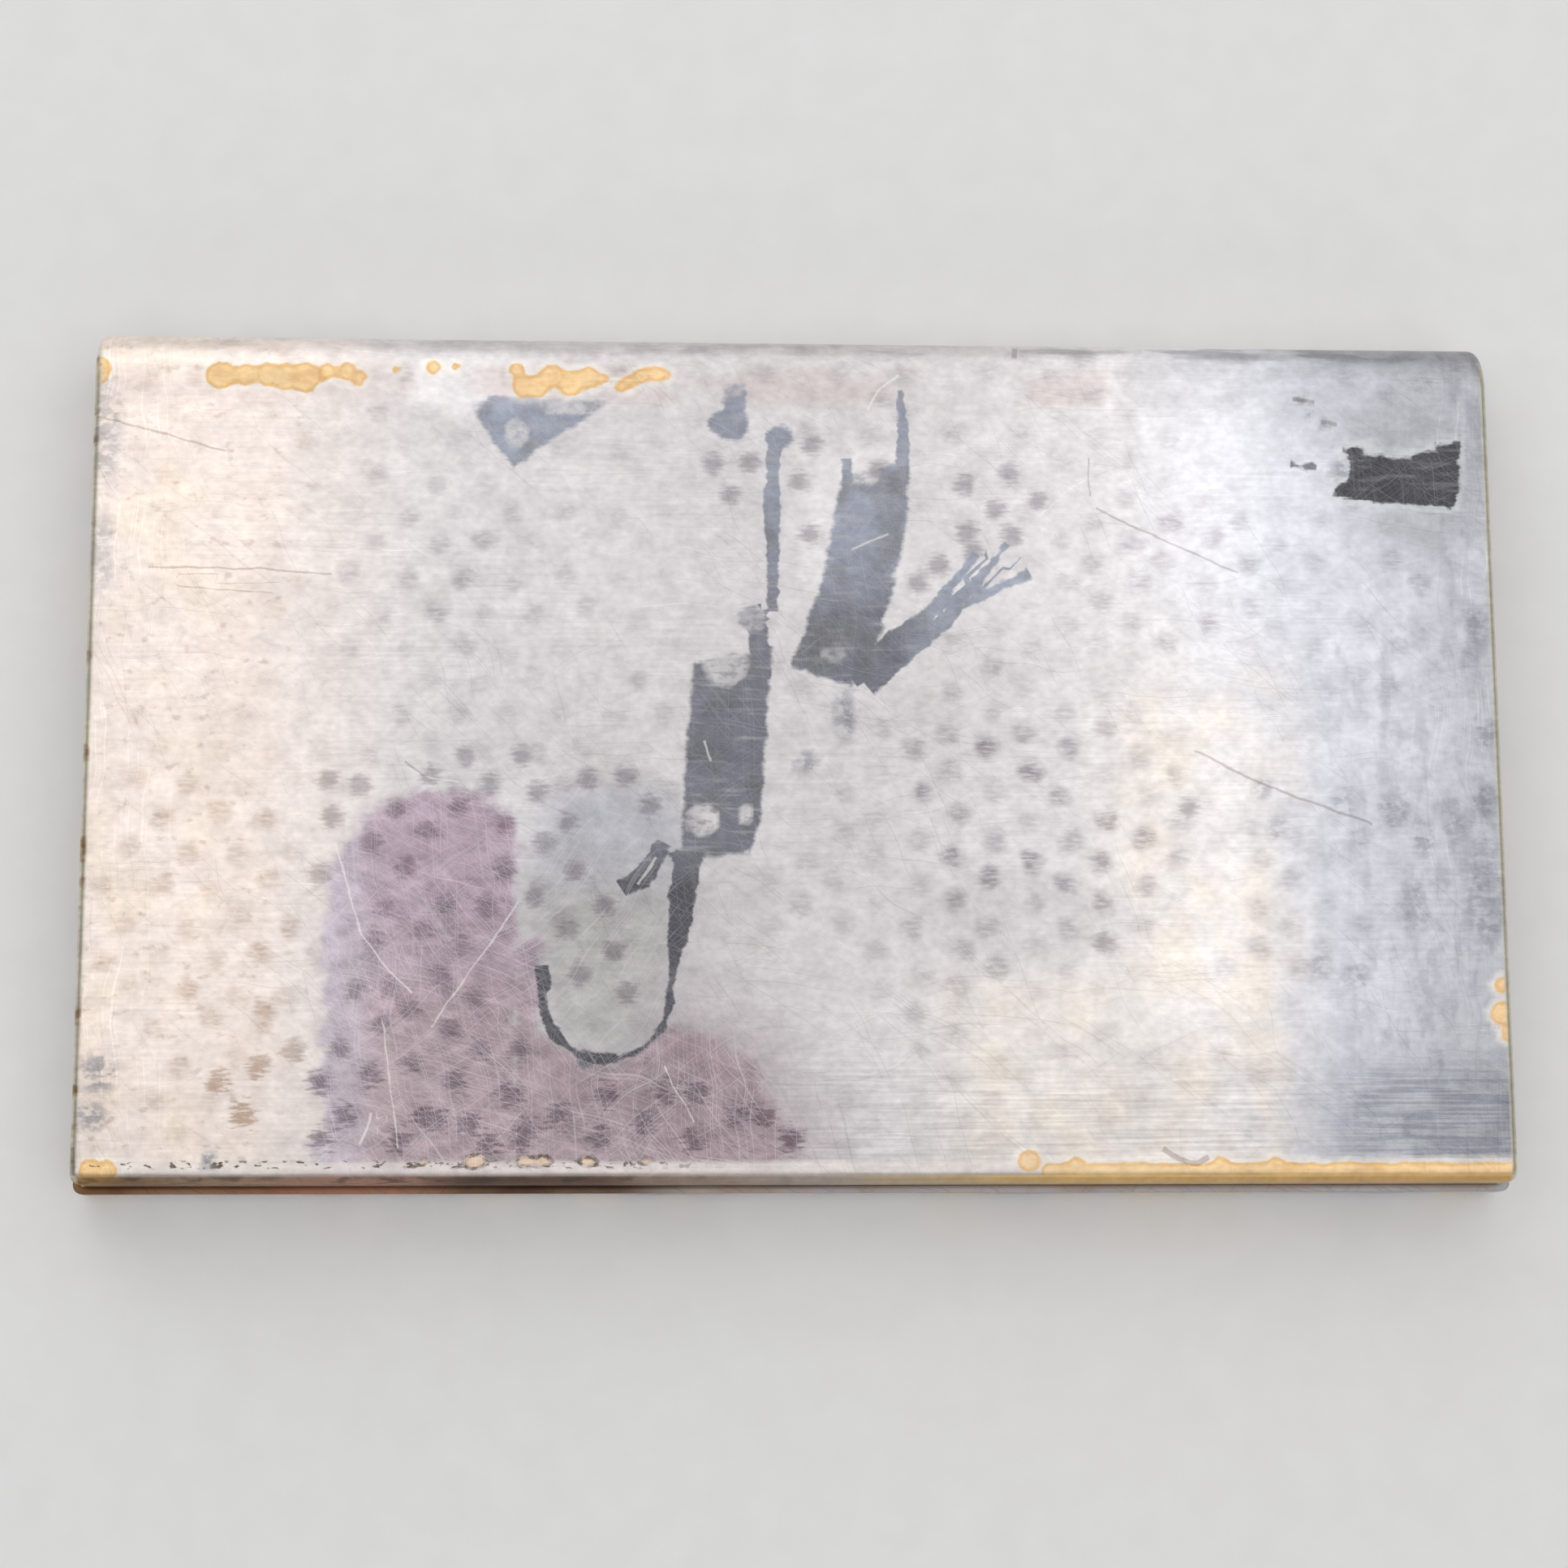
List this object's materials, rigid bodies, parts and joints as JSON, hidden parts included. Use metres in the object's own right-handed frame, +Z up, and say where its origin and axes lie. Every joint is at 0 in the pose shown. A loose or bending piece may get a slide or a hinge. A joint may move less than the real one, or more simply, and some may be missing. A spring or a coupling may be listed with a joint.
{
  "type": "business card case",
  "caption": "Slim hinged clamshell card case of worn silver-plated brass, with a round spine, a bezel with a snap catch, and a sprung plate that holds the cards.",
  "frame": {"origin": "middle of the underside, on the surface that the closed case rests on", "axes": "+X along the spine, +Y towards the hinge, +Z up through the lid"},
  "size_m": [0.095, 0.058, 0.0074],
  "materials": {
    "silver_plate": "silver plate over brass, tarnished and worn through at the edges",
    "silver_knuckles": "silver plate over brass",
    "gilt_brass": "satin gilt brass",
    "brass_rivets": "bare brass",
    "steel_pins": "drawn steel wire",
    "spring_steel": "blued spring steel"
  },
  "bodies": {
    "base": {"base_shell": "silver_plate", "base_bezel": "gilt_brass", "base_hinge_bearer": "gilt_brass", "base_knuckle_1": "silver_knuckles", "base_knuckle_2": "silver_knuckles", "base_knuckle_3": "silver_knuckles", "base_knuckle_4": "silver_knuckles", "hinge_pin": "steel_pins", "catch_spring": "spring_steel", "catch_rivets": "brass_rivets", "guard_bracket_left": "gilt_brass", "guard_bracket_right": "gilt_brass", "guard_pin": "steel_pins", "guard_spring_left": "spring_steel", "guard_spring_right": "spring_steel"},
    "lid": {"lid_shell": "silver_plate", "lid_hinge_bearer": "gilt_brass", "lid_knuckle_1": "silver_knuckles", "lid_knuckle_2": "silver_knuckles", "lid_knuckle_3": "silver_knuckles", "catch_ledge": "gilt_brass"},
    "card_guard": {"guard_plate": "gilt_brass", "guard_tube_left": "gilt_brass", "guard_tube_right": "gilt_brass"}
  },
  "joints": [
    {"name": "lid_hinge", "type": "hinge", "parent": "base", "child": "lid", "pos_m": [0, 0.028, 0.0037], "axis": [-1, 0, 0], "range_deg": [0, 100], "deforming": ["catch_spring"]},
    {"name": "guard_pivot", "type": "hinge", "parent": "base", "child": "card_guard", "pos_m": [0, 0.0215, 0.0023], "axis": [-1, 0, 0], "range_deg": [0, 8], "stiffness_Nm_per_rad": 0.02, "springref_deg": -28.65, "deforming": ["guard_spring_left", "guard_spring_right"]}
  ]
}
